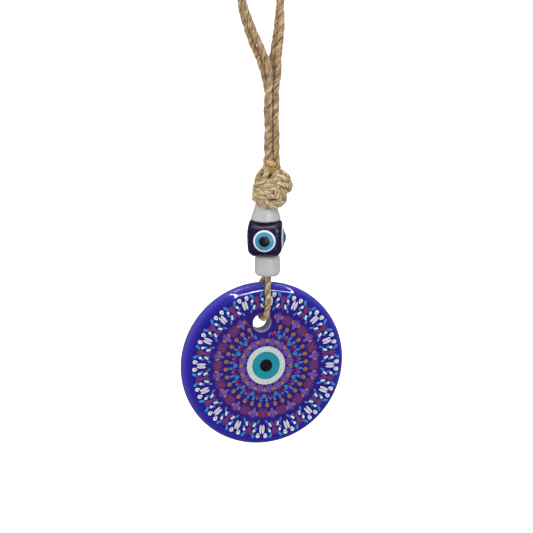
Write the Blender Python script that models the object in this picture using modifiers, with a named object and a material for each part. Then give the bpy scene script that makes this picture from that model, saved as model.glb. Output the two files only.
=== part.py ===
"""Evil eye hanging ornament.

A drilled glass disc with a printed face hangs in the bight of a doubled jute
cord.  Above it sit a white bead, a cube bead with a lampwork eye on each side,
and a second white bead.  The cord is knotted over the beads, whipped with a
short collar, and runs on as four strands that open into a hanging loop.

Metres, +Z up.  The origin is the seat of the loop, where a hook carries it.
The printed face of the disc looks along -Y.
"""

import math

import bmesh
import bpy
from mathutils import Matrix, Vector

# ------------------------------------------------------------ driving sizes

# Clearances
GAP = 0.0003                  # between pieces that touch
SWING_GAP = 0.0005            # between the cord and the rim that swings under it
BORE_CLEARANCE = 0.0003       # between the two strands and a bead's bore
WELD = 0.00001                # merge distance of turned shapes

# Glass disc
DISC_DIAMETER = 0.0700
DISC_THICKNESS = 0.0068
DISC_RIM_ROUND = 0.0032       # front and back edge rounding
DISC_RIM_BAND = 0.0002        # least half width of straight wall between them
DISC_X = 0.0003               # disc centre beside the hook
HOLE_DIAMETER = 0.0072
HOLE_LIP = 0.0007             # fire-polished edge of the hole
HOLE_EDGE_DISTANCE = 0.0167   # hole centre below the top of the rim
HOLE_SHIFT = -0.0009          # hole centre beside the disc centre

# Printed face
PRINT_THICKNESS = 0.0002
PRINT_SHIFT_X = 0.0009        # the print sits a little off centre
PRINT_SHIFT_Z = -0.0004
PRINT_MARGIN = 0.0003         # bare glass kept inside the rim rounding
PRINT_HOLE_MARGIN = 0.0004    # bare glass around the hole's lip

# Jute cord
CORD_DIAMETER = 0.0026
CORE_DIAMETER = 0.0023        # where two strands are squeezed through a bead
LOOP_RADIUS = 0.0080          # centreline of the loop's round top
STANDING_LENGTH = 0.0741      # hook seat down to the top of the collar
BUNDLE_X = 0.0046             # middle of the four strands beside the hook
BUNDLE_STRAIGHT = 0.0100      # straight run above the collar, between route points

# How far each strand strays sideways from its column in the bundle, by height
FRONT_LEFT_LEG = [
    (0.0000, -0.0449), (-0.0002, -0.0386), (-0.0014, -0.0323), (-0.0037, -0.0272),
    (-0.0060, -0.0222), (-0.0081, -0.0172), (-0.0100, -0.0122),
]
FRONT_RIGHT_LEG = [
    (0.0021, -0.0127), (0.0020, -0.0177), (0.0017, -0.0226), (0.0013, -0.0276),
    (0.0010, -0.0326), (0.0007, -0.0375), (0.0003, -0.0425),
]
BACK_LEFT_LEG = [
    (0.0000, -0.0454), (-0.0010, -0.0403), (-0.0027, -0.0352), (-0.0044, -0.0302),
    (-0.0059, -0.0276), (-0.0076, -0.0226), (-0.0094, -0.0176), (-0.0107, -0.0126),
]
BACK_RIGHT_LEG = [
    (0.0019, -0.0132), (0.0014, -0.0181), (0.0007, -0.0231), (-0.0001, -0.0280),
    (-0.0008, -0.0329), (-0.0007, -0.0380), (-0.0001, -0.0430),
]

# The bight: the bend of the cord that goes through the disc
BIGHT_MOUTH_DROP = 0.0004     # its ends below the lower bead
BIGHT_MOUTH_OFFSET = 0.0015   # its ends in front of and behind the bead's middle
BIGHT_SLACK = 0.0002          # stands a little off the glass below the rim
BIGHT_LEAVE = 0.0036          # where it leaves the face, above its bend in the hole
BIGHT_LEAN = 0.0012           # the strands pass the rim beside the disc's centre
BEND_SET_BACK = 0.0013        # bend centre behind and above the lip's own centre
RIM_TURN = ((45, 0.45), (67, 0.15), (90, 0.0))
HOLE_TURN = ((180, 0.75), (205, 0.5), (230, 0.3), (252, 0.12), (270, 0.0))

# Collar and knot
COLLAR_RADIUS = 0.0031
COLLAR_HEIGHT = 0.0037
COLLAR_WRAPS = 2
COLLAR_X = 0.0044
KNOT_HEIGHT = 0.0167
KNOT_WRAP_HEIGHT = 0.0104     # the two wide turns at the knot's foot
KNOT_WRAP_RADIUS = 0.0064
KNOT_DEPTH_RATIO = 0.86       # the knot is flatter front to back
KNOT_X = 0.0037
KNOT_NECK_RADIUS = 0.0033
KNOT_NECK_ROUND = 0.0010
KNOT_LOBE_OUT = 0.0064        # middle of the side loop beside the knot
KNOT_LOBE_RADIUS = 0.0030
KNOT_LOBE_RISE = 0.0108       # middle of the side loop above the knot's foot
KNOT_LOBE_HALF_HEIGHT = 0.0036
KNOT_SAG = 0.0017             # the lowest turn slips over the bead under it

# White beads
UPPER_BEAD_HEIGHT = 0.0070
UPPER_BEAD_TOP_RADIUS = 0.0045
UPPER_BEAD_BOTTOM_RADIUS = 0.00625
UPPER_BEAD_X = 0.0020
LOWER_BEAD_HEIGHT = 0.0087
LOWER_BEAD_RADIUS = 0.0053
LOWER_BEAD_X = 0.0027
BEAD_ROUND = 0.0012           # outer edge rounding, across
UPPER_BEAD_ROUND_HEIGHT = 0.0009
LOWER_BEAD_ROUND_HEIGHT = 0.0020
BEAD_LIP = 0.0012             # rounding at the mouth of the bore
UPPER_BEAD_LIP = 0.0004
BEAD_TO_DISC = 0.0030         # foot of the lower bead to the disc's rim

# Cube bead
CUBE_SIZE = 0.0142
CUBE_ROUND = 0.0027
CUBE_LIP = 0.0008
CUBE_X = 0.0017
CUBE_YAW = math.radians(-17)

# Lampwork eyes, one on each side of the cube
EYE_WHITE_RADIUS = 0.00465
EYE_BLUE_RADIUS = 0.00385
EYE_PUPIL_RADIUS = 0.0023
EYE_SEAT_DEPTH = 0.0006
EYE_WHITE_RISE = 0.0003       # how far the white dot stands out of the face
EYE_DOT_THICKNESS = 0.0004
EYE_EDGE = 0.00015
LEFT_EYE_SINK = 0.0011        # the left eye was pressed deeper into the cube

# Mesh fineness
DISC_STEPS = 64
BEAD_STEPS = 28
DOT_STEPS = 24
ROUND_POINTS = 3
ROUTE_STEP = 0.0048           # between points of a cord that runs nearly straight
BIGHT_STEP = 0.0016           # between points of the cord around the glass

# ------------------------------------------------------------ levels, top down

CORD_RADIUS = CORD_DIAMETER / 2
STRAND_OFFSET = (CORD_DIAMETER + GAP) / 2
CORE_OFFSET = (CORE_DIAMETER + GAP) / 2
BORE_RADIUS = CORE_OFFSET + CORE_DIAMETER / 2 + BORE_CLEARANCE

LOOP_CENTRE_Z = CORD_RADIUS - LOOP_RADIUS
COLLAR_TOP = -STANDING_LENGTH
COLLAR_FOOT = COLLAR_TOP - COLLAR_HEIGHT
KNOT_TOP = COLLAR_FOOT - GAP
KNOT_FOOT = KNOT_TOP - KNOT_HEIGHT
UPPER_BEAD_TOP = KNOT_FOOT + KNOT_SAG
UPPER_BEAD_FOOT = UPPER_BEAD_TOP - UPPER_BEAD_HEIGHT
CUBE_TOP = UPPER_BEAD_FOOT - GAP
CUBE_CENTRE_Z = CUBE_TOP - CUBE_SIZE / 2
CUBE_FOOT = CUBE_TOP - CUBE_SIZE
LOWER_BEAD_TOP = CUBE_FOOT - GAP
LOWER_BEAD_FOOT = LOWER_BEAD_TOP - LOWER_BEAD_HEIGHT
DISC_TOP = LOWER_BEAD_FOOT - BEAD_TO_DISC
DISC_RADIUS = DISC_DIAMETER / 2
RIM_ROUND = min(DISC_RIM_ROUND, DISC_THICKNESS / 2 - DISC_RIM_BAND)
DISC_CENTRE_Z = DISC_TOP - DISC_RADIUS
HOLE_X = DISC_X + HOLE_SHIFT
HOLE_CENTRE_Z = DISC_TOP - HOLE_EDGE_DISTANCE
HOLE_TOP = HOLE_CENTRE_Z + HOLE_DIAMETER / 2

# The cord bends round the hole's lip in an arc that clears it by GAP.
LIP_TO_CORD = HOLE_LIP + CORD_RADIUS + GAP
BEND_RADIUS = LIP_TO_CORD + BEND_SET_BACK * math.sqrt(2)
BEND_Y = DISC_THICKNESS / 2 - HOLE_LIP - BEND_SET_BACK
BEND_Z = HOLE_TOP + HOLE_LIP + BEND_SET_BACK
PIVOT_Z = BEND_Z - BEND_RADIUS

# ------------------------------------------------------------ helpers


def clear_scene():
    for obj in list(bpy.data.objects):
        bpy.data.objects.remove(obj, do_unlink=True)


def new_collection(name):
    collection = bpy.data.collections.new(name)
    bpy.context.scene.collection.children.link(collection)
    return collection


def make_material(name, colour, roughness, coat=0.0):
    material = bpy.data.materials.new(name)
    material.use_nodes = True
    shader = material.node_tree.nodes["Principled BSDF"]
    shader.inputs["Base Color"].default_value = (*colour, 1.0)
    shader.inputs["Roughness"].default_value = roughness
    shader.inputs["Metallic"].default_value = 0.0
    shader.inputs["Coat Weight"].default_value = coat
    material.diffuse_color = (*colour, 1.0)
    return material


def pivot(name, location, yaw=0.0):
    empty = bpy.data.objects.new(name, None)
    empty.location = location
    empty.rotation_euler.z = yaw
    empty.empty_display_size = 0.01
    ORNAMENT.objects.link(empty)
    return empty


def add_object(name, data, material=None, parent=None, matrix=None):
    obj = bpy.data.objects.new(name, data)
    if material is not None:
        data.materials.append(material)
    ORNAMENT.objects.link(obj)
    obj.parent = parent
    obj.matrix_local = matrix if matrix is not None else Matrix.Identity(4)
    return obj


def make_cutter(obj):
    """Moves a helper shape out of the ornament and hides it from view."""
    ORNAMENT.objects.unlink(obj)
    CUTTERS.objects.link(obj)
    obj.hide_render = True
    obj.display_type = "WIRE"
    return obj


def combine(obj, other, operation):
    modifier = obj.modifiers.new(f"{operation.lower()}_{other.name}", "BOOLEAN")
    modifier.operation = operation
    modifier.solver = "EXACT"
    modifier.object = other


def arc(centre_r, centre_z, radius, start, end, points=ROUND_POINTS, rise=None):
    """Points on an arc in the profile plane; angles in degrees from +r to +z.

    rise is the arc's radius along z, where it isn't round.
    """
    height = radius if rise is None else rise
    angles = [math.radians(start + (end - start) * i / points) for i in range(points + 1)]
    return [
        (centre_r + radius * math.cos(a), centre_z + height * math.sin(a))
        for a in angles
    ]


def turned(name, profile, steps, closed=False):
    """A profile of (radius, height) points, top to bottom, turned about Z."""
    mesh = bpy.data.meshes.new(name)
    shape = bmesh.new()
    verts = [shape.verts.new((radius, 0.0, height)) for radius, height in profile]
    for first, second in zip(verts, verts[1:]):
        shape.edges.new((first, second))
    if closed:
        shape.edges.new((verts[-1], verts[0]))
    shape.to_mesh(mesh)
    shape.free()
    obj = add_object(name, mesh)
    screw = obj.modifiers.new("turn", "SCREW")
    screw.axis = "Z"
    screw.angle = math.tau
    screw.steps = steps
    screw.render_steps = steps
    screw.use_merge_vertices = True
    screw.merge_threshold = WELD
    screw.use_smooth_shade = True
    return obj


def dress(obj, material, parent=None, matrix=None):
    """Gives a turned shape its material, parent and place."""
    obj.data.materials.append(material)
    obj.parent = parent
    obj.matrix_local = matrix if matrix is not None else Matrix.Identity(4)
    return obj


def flared_bore(name, radius, lip, length):
    """A cutter along Z: a bore of this length whose two mouths are rounded."""
    half = length / 2
    mouth = radius + lip
    top = arc(mouth, half - lip, lip, 90, 180)
    bottom = arc(mouth, lip - half, lip, 180, 270)
    beyond = half + lip
    profile = [(0, beyond), (mouth, beyond), *top, *bottom, (mouth, -beyond), (0, -beyond)]
    return make_cutter(turned(name, profile, BEAD_STEPS))


def rounded_ring(bore, top_radius, bottom_radius, height, rise, lip):
    """Closed cross-section of a bead, hung from its top at height 0."""
    edge = BEAD_ROUND
    return [
        *arc(top_radius - edge, -rise, edge, 90, 0, rise=rise),
        *arc(bottom_radius - edge, rise - height, edge, 0, -90, rise=rise),
        *arc(bore + lip, lip - height, lip, -90, -180),
        *arc(bore + lip, -lip, lip, 180, 90),
    ]


def smooth_route(points, step):
    """Even points on a smooth curve through a cord's route."""
    knots = [Vector(p) for p in points]
    knots = [2 * knots[0] - knots[1], *knots, 2 * knots[-1] - knots[-2]]
    fine = []
    for before, start, end, after in zip(knots, knots[1:], knots[2:], knots[3:]):
        span = (end - start).length
        lead = (end - before) * span / ((start - before).length + span)
        trail = (after - start) * span / ((after - end).length + span)
        for i in range(16):
            t = i / 16
            t2 = t * t
            t3 = t2 * t
            fine.append(
                (2 * t3 - 3 * t2 + 1) * start
                + (t3 - 2 * t2 + t) * lead
                + (3 * t2 - 2 * t3) * end
                + (t3 - t2) * trail
            )
    fine.append(knots[-2])
    lengths = [0.0]
    for first, second in zip(fine, fine[1:]):
        lengths.append(lengths[-1] + (second - first).length)
    count = max(2, round(lengths[-1] / step))
    route = []
    index = 0
    for i in range(count + 1):
        target = lengths[-1] * i / count
        while index < len(fine) - 2 and lengths[index + 1] < target:
            index += 1
        part = (target - lengths[index]) / (lengths[index + 1] - lengths[index])
        route.append(fine[index].lerp(fine[index + 1], min(part, 1.0)))
    return route


def cord(name, points, diameter, step, parent=None):
    """A tube with closed ends along a smooth route in world coordinates."""
    curve = bpy.data.curves.new(name, "CURVE")
    curve.dimensions = "3D"
    curve.bevel_depth = diameter / 2
    curve.bevel_resolution = 2
    curve.use_fill_caps = True
    route = smooth_route(points, step)
    spline = curve.splines.new("POLY")
    spline.points.add(len(route) - 1)
    for spline_point, place in zip(spline.points, route):
        spline_point.co = (*place, 1.0)
    away = Matrix.Identity(4)
    if parent is not None:
        away = parent.matrix_basis.inverted()
    return add_object(name, curve, JUTE, parent, away)


# ------------------------------------------------------------ glass disc


def build_disc(disc_pivot):
    half = DISC_THICKNESS / 2
    flat = DISC_RADIUS - RIM_ROUND
    profile = [
        (0, half),
        *arc(flat, half - RIM_ROUND, RIM_ROUND, 90, 0, 6),
        *arc(flat, RIM_ROUND - half, RIM_ROUND, 0, -90, 6),
        (0, -half),
    ]
    facing = Matrix.Rotation(math.radians(90), 4, "X")
    below = Matrix.Translation((0, 0, DISC_CENTRE_Z - PIVOT_Z))
    disc = dress(turned("glass_disc", profile, DISC_STEPS), GLASS, disc_pivot, below @ facing)

    hole = flared_bore("disc_hole", HOLE_DIAMETER / 2, HOLE_LIP, DISC_THICKNESS)
    hole.matrix_local = Matrix.Translation((HOLE_X, 0, HOLE_CENTRE_Z)) @ facing
    combine(disc, hole, "DIFFERENCE")


def build_print(disc_pivot):
    """The thin transfer fired onto the disc's flat front."""
    shift = math.hypot(PRINT_SHIFT_X, PRINT_SHIFT_Z)
    radius = DISC_RADIUS - RIM_ROUND - PRINT_MARGIN - shift
    front = DISC_THICKNESS / 2 + GAP
    facing = Matrix.Rotation(math.radians(90), 4, "X")
    profile = [(0, PRINT_THICKNESS), (radius, PRINT_THICKNESS), (radius, 0), (0, 0)]
    drop = DISC_CENTRE_Z - PIVOT_Z + PRINT_SHIFT_Z
    place = Matrix.Translation((PRINT_SHIFT_X, -front, drop)) @ facing
    film = dress(turned("disc_print", profile, DISC_STEPS), INK, disc_pivot, place)

    reach = HOLE_DIAMETER / 2 + HOLE_LIP + PRINT_HOLE_MARGIN
    deep = DISC_THICKNESS
    profile = [(0, deep), (reach, deep), (reach, -deep), (0, -deep)]
    hole = make_cutter(turned("print_hole", profile, BEAD_STEPS))
    hole.matrix_local = Matrix.Translation((HOLE_X, -front, HOLE_CENTRE_Z)) @ facing
    combine(film, hole, "DIFFERENCE")


# ------------------------------------------------------------ beads


def build_white_bead(name, axis_x, top, top_radius, bottom_radius, height, rise, lip):
    centre = pivot(f"{name}_axis", (axis_x, 0, top))
    section = rounded_ring(BORE_RADIUS, top_radius, bottom_radius, height, rise, lip)
    dress(turned(name, section, BEAD_STEPS, closed=True), WHITE_GLASS, centre)


def build_cube_bead(cube_axis):
    mesh = bpy.data.meshes.new("cube_bead")
    shape = bmesh.new()
    bmesh.ops.create_cube(shape, size=CUBE_SIZE)
    shape.to_mesh(mesh)
    shape.free()
    cube = add_object("cube_bead", mesh, NAVY_GLASS, cube_axis)
    mesh.shade_smooth()
    bevel = cube.modifiers.new("rounding", "BEVEL")
    bevel.width = CUBE_ROUND
    bevel.segments = ROUND_POINTS
    bevel.use_clamp_overlap = False

    bore = flared_bore("cube_bore", BORE_RADIUS, CUBE_LIP, CUBE_SIZE)
    bore.location = (CUBE_X, 0, CUBE_CENTRE_Z)
    combine(cube, bore, "DIFFERENCE")
    for side, facing, sink in eye_sides():
        seat_radius = EYE_WHITE_RADIUS + GAP
        seat_foot = CUBE_SIZE / 2 - EYE_SEAT_DEPTH - sink
        profile = [
            (0, CUBE_SIZE),
            (seat_radius, CUBE_SIZE),
            (seat_radius, seat_foot),
            (0, seat_foot),
        ]
        seat = make_cutter(turned(f"eye_seat_{side}", profile, DOT_STEPS))
        seat.matrix_local = cube_axis.matrix_basis @ facing
        combine(cube, seat, "DIFFERENCE")


def eye_sides():
    """Each side's name, the turn that takes +Z to its outward direction, and its sink."""
    upright = Matrix.Rotation(math.radians(90), 4, "X")
    for quarter, side in enumerate(("front", "right", "back", "left")):
        sink = LEFT_EYE_SINK if side == "left" else 0
        yield side, Matrix.Rotation(math.radians(90 * quarter), 4, "Z") @ upright, sink


def dot_profile(radius, foot, top):
    """A flat round dot of glass with a softened front edge."""
    edge = arc(radius - EYE_EDGE, top - EYE_EDGE, EYE_EDGE, 90, 0, 2)
    return [(0, top), *edge, (radius, foot), (0, foot)]


def build_eyes(cube_axis):
    face = CUBE_SIZE / 2
    white_top = face + EYE_WHITE_RISE
    blue_foot = white_top + GAP
    blue_top = blue_foot + EYE_DOT_THICKNESS
    pupil_foot = blue_top + GAP
    pupil_top = pupil_foot + EYE_DOT_THICKNESS
    dots = (
        ("white", EYE_WHITE_RADIUS, face - EYE_SEAT_DEPTH + GAP, white_top, EYE_WHITE),
        ("blue", EYE_BLUE_RADIUS, blue_foot, blue_top, EYE_BLUE),
        ("pupil", EYE_PUPIL_RADIUS, pupil_foot, pupil_top, EYE_BLACK),
    )
    for side, facing, sink in eye_sides():
        for layer, radius, foot, top, glass in dots:
            section = dot_profile(radius, foot - sink, top - sink)
            dot = turned(f"eye_{side}_{layer}", section, DOT_STEPS)
            dress(dot, glass, cube_axis, facing)


# ------------------------------------------------------------ knot and collar


def ellipsoid(name, location, radii):
    mesh = bpy.data.meshes.new(name)
    shape = bmesh.new()
    bmesh.ops.create_uvsphere(shape, u_segments=20, v_segments=12, radius=1.0)
    bmesh.ops.scale(shape, vec=radii, verts=shape.verts)
    bmesh.ops.translate(shape, vec=location, verts=shape.verts)
    shape.to_mesh(mesh)
    shape.free()
    return make_cutter(add_object(name, mesh))


def build_knot():
    """Two wide turns at the foot, a neck above them and a loop at the right."""
    turn = KNOT_WRAP_HEIGHT / 4
    crown = KNOT_WRAP_RADIUS - turn
    profile = [
        (0, KNOT_WRAP_HEIGHT),
        *arc(crown, 3 * turn, turn, 90, -60, 5),
        *arc(crown, turn, turn, 60, -90, 5),
        (0, 0),
    ]
    flatten = Matrix.Diagonal((1.0, KNOT_DEPTH_RATIO, 1.0, 1.0))
    place = Matrix.Translation((KNOT_X, 0, KNOT_FOOT)) @ flatten
    knot = dress(turned("knot", profile, BEAD_STEPS), JUTE_LIGHT, None, place)

    neck_foot = KNOT_FOOT + KNOT_WRAP_HEIGHT / 2
    neck_height = KNOT_TOP - neck_foot
    shoulder = KNOT_NECK_RADIUS - KNOT_NECK_ROUND
    neck_profile = [
        (0, neck_height),
        *arc(shoulder, neck_height - KNOT_NECK_ROUND, KNOT_NECK_ROUND, 90, 0),
        (KNOT_NECK_RADIUS, 0),
        (0, 0),
    ]
    neck = make_cutter(turned("knot_neck", neck_profile, BEAD_STEPS))
    neck.matrix_local = Matrix.Translation((COLLAR_X, 0, neck_foot)) @ flatten
    lobe_place = (KNOT_X + KNOT_LOBE_OUT, 0, KNOT_FOOT + KNOT_LOBE_RISE)
    lobe_radii = (KNOT_LOBE_RADIUS, CORD_DIAMETER, KNOT_LOBE_HALF_HEIGHT)
    combine(knot, neck, "UNION")
    combine(knot, ellipsoid("knot_side_loop", lobe_place, lobe_radii), "UNION")

    seat_profile = [
        (0, GAP),
        (UPPER_BEAD_TOP_RADIUS + GAP, GAP),
        (UPPER_BEAD_BOTTOM_RADIUS + GAP, -UPPER_BEAD_HEIGHT),
        (0, -UPPER_BEAD_HEIGHT),
    ]
    seat = make_cutter(turned("knot_seat", seat_profile, BEAD_STEPS))
    seat.matrix_local = Matrix.Translation((UPPER_BEAD_X, 0, UPPER_BEAD_TOP))
    combine(knot, seat, "DIFFERENCE")


def build_collar():
    """A short whipping of thin cord: rounded wraps on a solid core."""
    wrap = COLLAR_HEIGHT / COLLAR_WRAPS / 2
    core = COLLAR_RADIUS - wrap
    profile = [(0, 0), (core, 0)]
    for i in range(COLLAR_WRAPS):
        profile += arc(core, -(2 * i + 1) * wrap, wrap, 80, -80, 4)
    profile += [(core, -COLLAR_HEIGHT), (0, -COLLAR_HEIGHT)]
    place = Matrix.Translation((COLLAR_X, 0, COLLAR_TOP))
    dress(turned("collar_wrap", profile, BEAD_STEPS), JUTE_GOLDEN, None, place)


# ------------------------------------------------------------ cord


def loop_route(depth, left_leg, right_leg):
    """One strand: up the left leg, over the hook and down the right leg."""
    foot = COLLAR_TOP + GAP
    left = BUNDLE_X - STRAND_OFFSET
    right = BUNDLE_X + STRAND_OFFSET
    crown = []
    for i in range(7):
        angle = math.radians(180 - 30 * i)
        height = LOOP_CENTRE_Z + LOOP_RADIUS * math.sin(angle)
        crown.append((LOOP_RADIUS * math.cos(angle), height))
    straight = [foot, foot + BUNDLE_STRAIGHT, foot + 2 * BUNDLE_STRAIGHT]
    rising = [(left, z) for z in straight] + [(left + stray, z) for stray, z in left_leg]
    falling = [(right + stray, z) for stray, z in right_leg]
    falling += [(right, z) for z in reversed(straight)]
    return [(x, depth, z) for x, z in rising + crown + falling]


def bight_half():
    """Lower bead, over the rim, down the front, to the middle of the hole.

    Each turn is a list of angles on its arc, with how much of the sideways
    lean is left at that angle.
    """
    stand_off = DISC_THICKNESS / 2 + CORD_RADIUS + SWING_GAP
    rim_y = DISC_THICKNESS / 2 - RIM_ROUND
    rim_z = DISC_TOP - RIM_ROUND
    rim_reach = RIM_ROUND + CORD_RADIUS + SWING_GAP
    face_x = DISC_X + BIGHT_LEAN
    points = [(LOWER_BEAD_X, -BIGHT_MOUTH_OFFSET, LOWER_BEAD_FOOT - BIGHT_MOUTH_DROP)]
    for degrees, lean in RIM_TURN:
        angle = math.radians(degrees)
        x = face_x + (LOWER_BEAD_X - face_x) * lean
        y = -rim_y - rim_reach * math.sin(angle)
        points.append((x, y, rim_z + rim_reach * math.cos(angle)))
    points.append((face_x, -stand_off - BIGHT_SLACK, BEND_Z + BIGHT_LEAVE))
    for degrees, lean in HOLE_TURN:
        angle = math.radians(degrees)
        x = DISC_X + (face_x - DISC_X) * lean
        y = -BEND_Y + BEND_RADIUS * math.cos(angle)
        points.append((x, y, BEND_Z + BEND_RADIUS * math.sin(angle)))
    return points


def build_cord(bight_axis):
    front_route = loop_route(-STRAND_OFFSET, FRONT_LEFT_LEG, FRONT_RIGHT_LEG)
    back_route = loop_route(STRAND_OFFSET, BACK_LEFT_LEG, BACK_RIGHT_LEG)
    cord("loop_strand_front", front_route, CORD_DIAMETER, ROUTE_STEP)
    cord("loop_strand_back", back_route, CORD_DIAMETER, ROUTE_STEP)

    for name, depth in (("core_strand_front", -CORE_OFFSET), ("core_strand_back", CORE_OFFSET)):
        route = [
            (LOWER_BEAD_X, depth, LOWER_BEAD_FOOT + BEAD_LIP),
            (LOWER_BEAD_X, depth, LOWER_BEAD_TOP),
            ((LOWER_BEAD_X + CUBE_X) / 2, depth, CUBE_CENTRE_Z),
            (UPPER_BEAD_X, depth, UPPER_BEAD_FOOT),
            (UPPER_BEAD_X, depth, UPPER_BEAD_TOP),
        ]
        cord(name, route, CORE_DIAMETER, ROUTE_STEP)

    front = bight_half()
    back = [(x, -y, z) for x, y, z in reversed(front)]
    cord("cord_bight", front + back, CORD_DIAMETER, BIGHT_STEP, bight_axis)


# ------------------------------------------------------------ assembly

clear_scene()
ORNAMENT = new_collection("evil_eye_ornament")
CUTTERS = new_collection("cutters")

GLASS = make_material("cobalt_glass", (0.045, 0.030, 0.420), 0.08, 0.6)
INK = make_material("printed_mandala", (0.090, 0.035, 0.300), 0.20, 0.6)
NAVY_GLASS = make_material("navy_glass", (0.012, 0.007, 0.055), 0.12, 0.5)
WHITE_GLASS = make_material("white_glass", (0.720, 0.720, 0.730), 0.35)
EYE_WHITE = make_material("eye_white_glass", (0.850, 0.880, 0.900), 0.15, 0.5)
EYE_BLUE = make_material("eye_blue_glass", (0.050, 0.330, 0.620), 0.15, 0.5)
EYE_BLACK = make_material("eye_black_glass", (0.008, 0.008, 0.010), 0.15, 0.5)
JUTE = make_material("jute", (0.420, 0.280, 0.150), 0.90)
JUTE_LIGHT = make_material("jute_light", (0.560, 0.420, 0.240), 0.90)
JUTE_GOLDEN = make_material("jute_golden", (0.640, 0.400, 0.190), 0.85)

build_cord(pivot("bight_axis", (LOWER_BEAD_X, 0, LOWER_BEAD_FOOT)))
build_knot()
build_collar()
build_white_bead(
    "upper_bead", UPPER_BEAD_X, UPPER_BEAD_TOP, UPPER_BEAD_TOP_RADIUS,
    UPPER_BEAD_BOTTOM_RADIUS, UPPER_BEAD_HEIGHT, UPPER_BEAD_ROUND_HEIGHT, UPPER_BEAD_LIP,
)
build_white_bead(
    "lower_bead", LOWER_BEAD_X, LOWER_BEAD_TOP, LOWER_BEAD_RADIUS,
    LOWER_BEAD_RADIUS, LOWER_BEAD_HEIGHT, LOWER_BEAD_ROUND_HEIGHT, BEAD_LIP,
)
CUBE_AXIS = pivot("cube_axis", (CUBE_X, 0, CUBE_CENTRE_Z), CUBE_YAW)
build_cube_bead(CUBE_AXIS)
build_eyes(CUBE_AXIS)
DISC_PIVOT = pivot("disc_pivot", (DISC_X, 0, PIVOT_Z))
build_disc(DISC_PIVOT)
build_print(DISC_PIVOT)
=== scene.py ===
"""Evil eye hanging ornament: the finished looks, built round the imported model.

A glass disc with a fired mandala hangs in a bend of twisted jute.  The cord
runs up through a white bead, a navy cube with four lampwork eyes and a second
white bead, is knotted and whipped, and opens into a hanging loop.
"""

import math
import random

import bmesh
import bpy
from mathutils import Matrix, Vector, noise


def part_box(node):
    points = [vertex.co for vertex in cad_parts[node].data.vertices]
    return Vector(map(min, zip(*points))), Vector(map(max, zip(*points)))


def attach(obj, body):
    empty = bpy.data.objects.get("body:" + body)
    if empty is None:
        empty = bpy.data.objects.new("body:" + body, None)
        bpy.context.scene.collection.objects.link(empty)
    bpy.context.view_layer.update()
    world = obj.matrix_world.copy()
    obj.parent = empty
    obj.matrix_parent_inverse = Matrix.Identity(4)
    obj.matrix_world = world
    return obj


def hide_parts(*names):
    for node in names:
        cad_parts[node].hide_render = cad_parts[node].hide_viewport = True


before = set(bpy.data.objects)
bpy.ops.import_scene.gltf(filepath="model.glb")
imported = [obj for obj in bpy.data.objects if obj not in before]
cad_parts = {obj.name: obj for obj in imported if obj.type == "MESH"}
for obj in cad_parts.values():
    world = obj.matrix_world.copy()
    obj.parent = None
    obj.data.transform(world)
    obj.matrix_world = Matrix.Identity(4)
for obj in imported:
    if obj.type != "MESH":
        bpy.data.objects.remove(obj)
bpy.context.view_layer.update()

MM = 0.001

# ------------------------------------------------------------ sizes


def middle(node):
    """The middle of a node's box, and half its size each way."""
    low, high = (Vector(corner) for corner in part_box(node))
    return (low + high) / 2, (high - low) / 2


DISC_CENTRE, DISC_HALF = middle("glass_disc")
DISC_RADIUS = DISC_HALF.x
DISC_TOP = DISC_CENTRE.z + DISC_RADIUS
DISC_FRONT = -DISC_HALF.y
DISC_RIM_ROUND = 3.2 * MM
HOLE_SHIFT = -0.9 * MM            # the hole was drilled a little left of the middle
HOLE_EDGE_DISTANCE = 16.7 * MM    # its centre below the top of the rim
HOLE_CENTRE = Vector((DISC_CENTRE.x + HOLE_SHIFT, 0.0, DISC_TOP - HOLE_EDGE_DISTANCE))
HOLE_RADIUS = 3.6 * MM
HOLE_LIP = 0.7 * MM               # rounding at each mouth of the hole

PRINT_CENTRE = DISC_CENTRE + Vector((0.9, 0.0, -0.4)) * MM
PRINT_TURN = math.radians(-3.7)   # the first axis of the mandala, from +X
SECTORS = 16
SECTOR = 360 / SECTORS

CORD_DIAMETER = 2.6 * MM
CORE_DIAMETER = 2.3 * MM          # where two strands are squeezed through a bead
CORD_PITCH = 10.0 * MM            # one full turn of the two plies
CORD_FULL = 1.12                  # the loose skin of fibres over the cord's own diameter
PLY_OFFSET = 0.17                 # how far each ply stands off the middle, as a share

CUBE_YAW = math.radians(-17)
# Each dot of glass: its radius at the cube's face, and how far it stands out
EYE_DOTS = {
    "white": (4.65 * MM, 0.75 * MM),
    "blue": (4.15 * MM, 1.22 * MM),
    "pupil": (2.95 * MM, 1.62 * MM),
}
LEFT_EYE_FLAT = 0.35              # the left eye was pressed flatter
BORE_RADIUS = 2.75 * MM           # through each bead

# ------------------------------------------------------------ mesh helpers


def finished(name, shape, material, body, replaces=(), smooth=True):
    """Turns a bmesh into a named piece that rides on a body."""
    mesh = bpy.data.meshes.new(name)
    shape.to_mesh(mesh)
    shape.free()
    if smooth:
        mesh.shade_smooth()
    mesh.materials.append(material)
    piece = bpy.data.objects.new(name, mesh)
    bpy.context.scene.collection.objects.link(piece)
    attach(piece, body)
    if replaces:
        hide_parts(*replaces)
    return piece


def outward(shape):
    """Turns every face of a closed shape to look out."""
    bmesh.ops.recalc_face_normals(shape, faces=shape.faces)


def polyline(shape, points):
    """A chain of edges through these points."""
    verts = [shape.verts.new(point) for point in points]
    edges = [shape.edges.new(pair) for pair in zip(verts, verts[1:])]
    return verts + edges


def turned(shape, profile, centre, axis, steps):
    """Spins a profile of (radius, height) once round an axis through centre."""
    along = Vector(axis)
    across = along.orthogonal().normalized()
    points = [centre + across * radius + along * height for radius, height in profile]
    chain = polyline(shape, points)
    bmesh.ops.spin(
        shape, geom=chain, cent=centre, axis=along, angle=math.tau, steps=steps, use_merge=True
    )
    bmesh.ops.remove_doubles(shape, verts=shape.verts, dist=0.001 * MM)


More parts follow.
